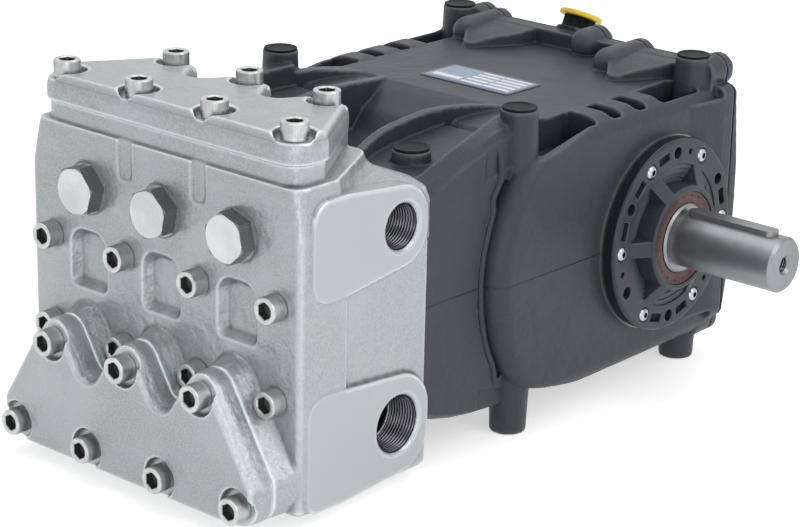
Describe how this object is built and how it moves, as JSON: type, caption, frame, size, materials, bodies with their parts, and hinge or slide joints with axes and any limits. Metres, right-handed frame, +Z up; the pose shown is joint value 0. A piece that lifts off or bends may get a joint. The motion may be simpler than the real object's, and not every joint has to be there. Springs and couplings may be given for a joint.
{
  "type": "horizontal triplex plunger pump",
  "caption": "Horizontal plunger pump: nickel-grey fluid end with side ports and bolted valve covers on a dark crankcase with feet, bearing cover and keyed drive shaft.",
  "frame": {"origin": "centre of the four foot holes on the plane the feet stand on", "axes": "+X along the crankshaft out of the drive end, +Y from the fluid end towards the power end, +Z up"},
  "size_m": [0.3807, 0.5236, 0.264],
  "materials": {
    "cast_silver": "nickel-plated casting, satin",
    "screw_steel": "satin stainless",
    "turned_steel": "turned, bright",
    "case_paint": "satin anthracite paint",
    "gasket_black": "matt",
    "shim_steel": "sheet edge",
    "zinc_steel": "bright zinc",
    "seal_rubber": "matt reddish brown",
    "ground_steel": "ground",
    "black_plastic": "matt",
    "yellow_plastic": "gloss",
    "plate_print": "printed foil"
  },
  "bodies": {
    "pump": {"fluid_end_block": "cast_silver", "delivery_cover": "cast_silver", "suction_cover": "cast_silver", "delivery_screws_front": "screw_steel", "delivery_screws_rear": "screw_steel", "suction_screws_lower": "screw_steel", "suction_screws_upper": "screw_steel", "head_bolts_upper": "screw_steel", "head_bolts_lower": "screw_steel", "valve_plugs": "turned_steel", "plug_washers": "turned_steel", "crankcase": "case_paint", "rear_gasket": "gasket_black", "rear_cover": "case_paint", "rear_screws": "zinc_steel", "drive_bearing_cover": "case_paint", "drive_cover_shims": "shim_steel", "drive_cover_screws": "zinc_steel", "blind_bearing_cover": "case_paint", "blind_cover_shims": "shim_steel", "blind_cover_screws": "zinc_steel", "shaft_seal": "seal_rubber", "post_caps": "black_plastic", "tray_caps": "black_plastic", "oil_cap_body": "black_plastic", "oil_cap_disc": "yellow_plastic", "nameplate": "plate_print"},
    "drive_shaft": {"drive_shaft": "ground_steel", "shaft_key": "ground_steel"}
  },
  "joints": [
    {"name": "shaft_rotation", "type": "hinge", "parent": "pump", "child": "drive_shaft", "pos_m": [0.1425, 0.04215, 0.11575], "axis": [1, 0, 0], "continuous": true}
  ]
}
